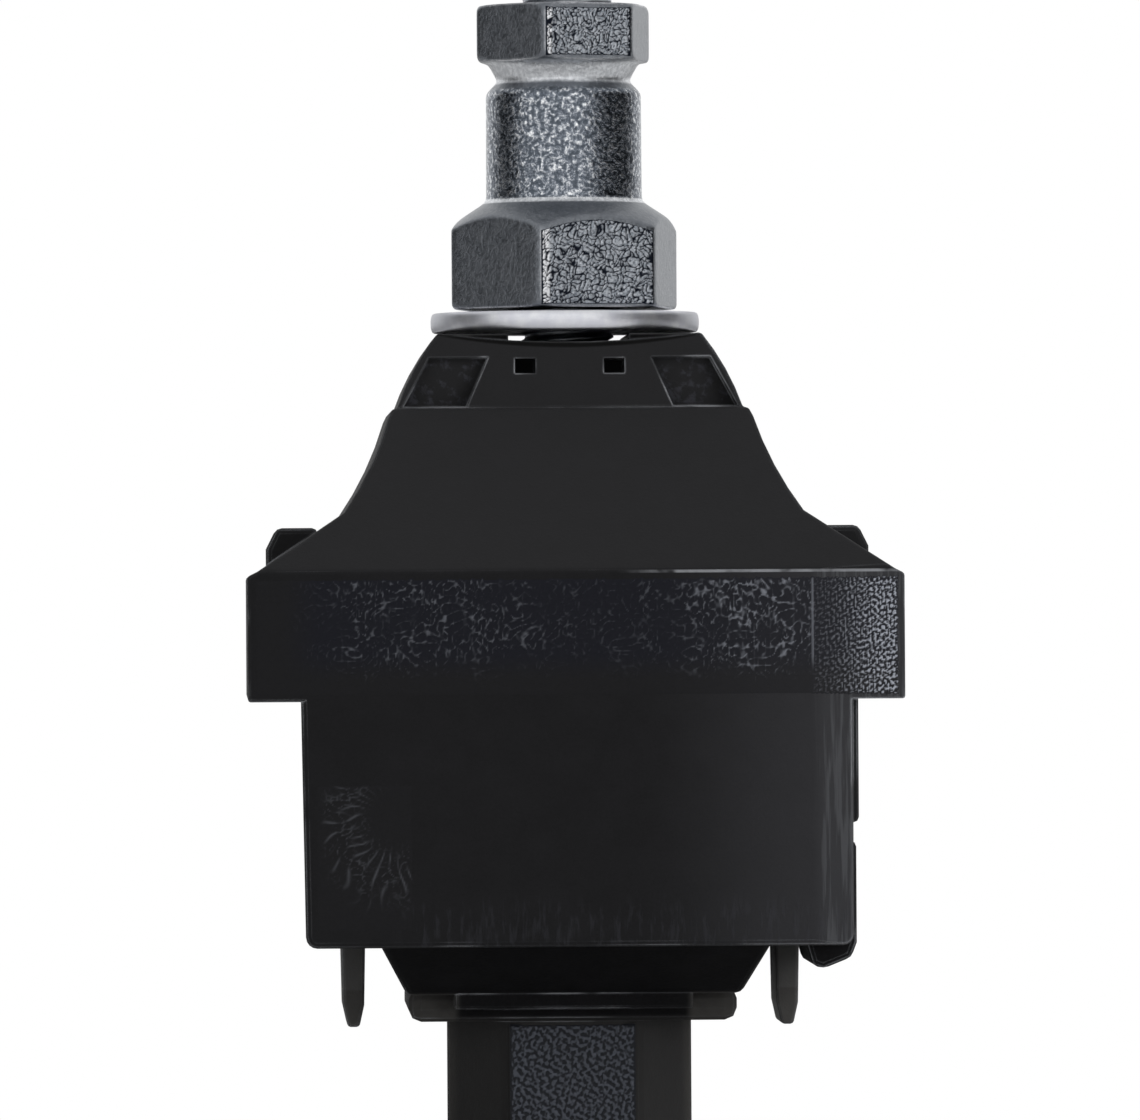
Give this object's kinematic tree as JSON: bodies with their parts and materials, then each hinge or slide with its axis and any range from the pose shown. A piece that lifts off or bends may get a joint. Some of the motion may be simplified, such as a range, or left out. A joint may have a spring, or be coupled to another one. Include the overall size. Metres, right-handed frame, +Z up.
{
  "type": "insulation piercing connector",
  "caption": "Insulation piercing tap connector: moulded jaws with two cable channels and toothed contacts, closed by a through bolt and a shear-head nut",
  "frame": {"origin": "on the bolt's axis, in the end face of the hexagonal post, which is the bottom of the part", "axes": "+X along both cables to the closed end of the tap channel, +Y to the open main-cable side, +Z up the bolt to the shear head"},
  "size_m": [0.0524, 0.049, 0.0984],
  "materials": {
    "housing": "black glass-filled nylon, moulded, glossy at the worn edges",
    "bolt": "galvanised steel",
    "nut": "zinc-coated steel with a crackled coat",
    "washer": "bright steel with a rolled rim",
    "contact": "tin-plated copper",
    "seal": "soft black elastomer"
  },
  "bodies": {
    "lower": {"lower_jaw": "housing", "clamp_bolt": "bolt", "lower_contact_left": "contact", "lower_contact_right": "contact", "lower_tap_seal_left": "seal", "lower_tap_seal_right": "seal", "lower_main_seal_left": "seal", "lower_main_seal_right": "seal"},
    "upper": {"upper_jaw": "housing", "pressure_washer": "washer", "upper_contact_left": "contact", "upper_contact_right": "contact", "upper_tap_seal_left": "seal", "upper_tap_seal_right": "seal", "upper_main_seal_left": "seal", "upper_main_seal_right": "seal"},
    "nut": {"shear_nut": "nut"}
  },
  "joints": [
    {"name": "jaw_slide", "type": "slide", "parent": "lower", "child": "upper", "axis": [0, 0, 1], "range_m": [0, 0.01375]},
    {"name": "nut_turn", "type": "hinge", "parent": "upper", "child": "nut", "pos_m": [0, 0, 0.076], "axis": [0, 0, 1], "range_deg": [0, 3960]}
  ],
  "couplings": [
    {"joint": "nut_turn", "follows": "jaw_slide", "rad_per_m": 5026.5}
  ]
}
